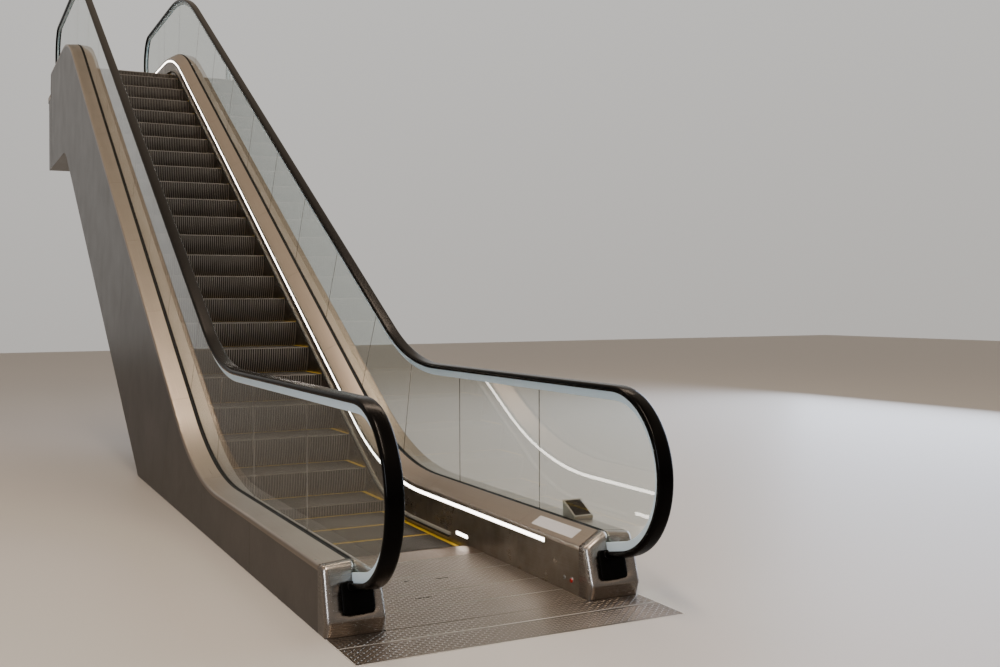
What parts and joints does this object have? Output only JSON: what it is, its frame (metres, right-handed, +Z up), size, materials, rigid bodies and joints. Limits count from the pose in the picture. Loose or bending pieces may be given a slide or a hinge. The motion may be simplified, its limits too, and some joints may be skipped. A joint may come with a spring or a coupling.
{
  "type": "escalator",
  "caption": "Indoor escalator with glass balustrades, lit skirts, black handrails and steel landings, rising 4.4 m between two floors at 30 degrees.",
  "frame": {"origin": "underside of the lower landing frame on the centre line, below the front edge of the lower newel caps; the floor is 60 mm above it", "axes": "+X to the right when facing up the run, +Y along the run towards the upper floor, +Z up"},
  "size_m": [1.54, 13.5946, 5.46],
  "materials": {
    "landing_trim": "satin",
    "floor_plate": "raised diagonal pattern, satin",
    "comb_plate": "smooth satin",
    "comb": "cast, satin",
    "step": "die cast, dark grooved",
    "step_edge": "yellow, matt",
    "bright_steel": "turned",
    "structure": "matt primer",
    "skirt": "brushed along the run",
    "brush": "nylon bristles",
    "light": "lit diffuser",
    "deck": "brushed, warm",
    "clamp": "gasket",
    "glass": "clear toughened",
    "guide": "pale diffuser",
    "handrail": "black satin",
    "cap": "brushed",
    "inlet": "black",
    "cladding": "brushed",
    "soffit": "matt",
    "switch": "satin",
    "signal_box": "satin with a dark screen"
  },
  "bodies": {
    "root": {"landing_frame_lower": "landing_trim", "floor_plates_lower": "floor_plate", "comb_plate_lower": "comb_plate", "combs_lower": "comb", "landing_frame_upper": "landing_trim", "floor_plates_upper": "floor_plate", "comb_plate_upper": "comb_plate", "combs_upper": "comb", "steps_lower": "step", "steps_incline": "step", "steps_upper": "step", "step_edge_inserts": "step_edge", "step_axles": "bright_steel", "guide_tracks": "structure", "cross_beams": "structure", "truss_left": "structure", "truss_right": "structure", "deck_brackets": "structure", "skirt_left": "skirt", "skirt_right": "skirt", "skirt_brushes": "brush", "skirt_lights": "light", "inner_deck_left": "deck", "inner_deck_right": "deck", "outer_deck_left": "deck", "outer_deck_right": "deck", "glass_clamps": "clamp", "glass_left": "glass", "glass_right": "glass", "handrail_guides": "guide", "handrail_left": "handrail", "handrail_right": "handrail", "newel_cap_lower_left": "cap", "newel_cap_lower_right": "cap", "newel_cap_upper_left": "cap", "newel_cap_upper_right": "cap", "handrail_inlets": "inlet", "side_cladding_left": "cladding", "side_cladding_right": "cladding", "soffit": "soffit", "upper_end_wall": "soffit", "upper_bearing": "structure", "comb_lamps": "light", "control_switches": "switch", "signal_boxes": "signal_box"}
  },
  "joints": []
}
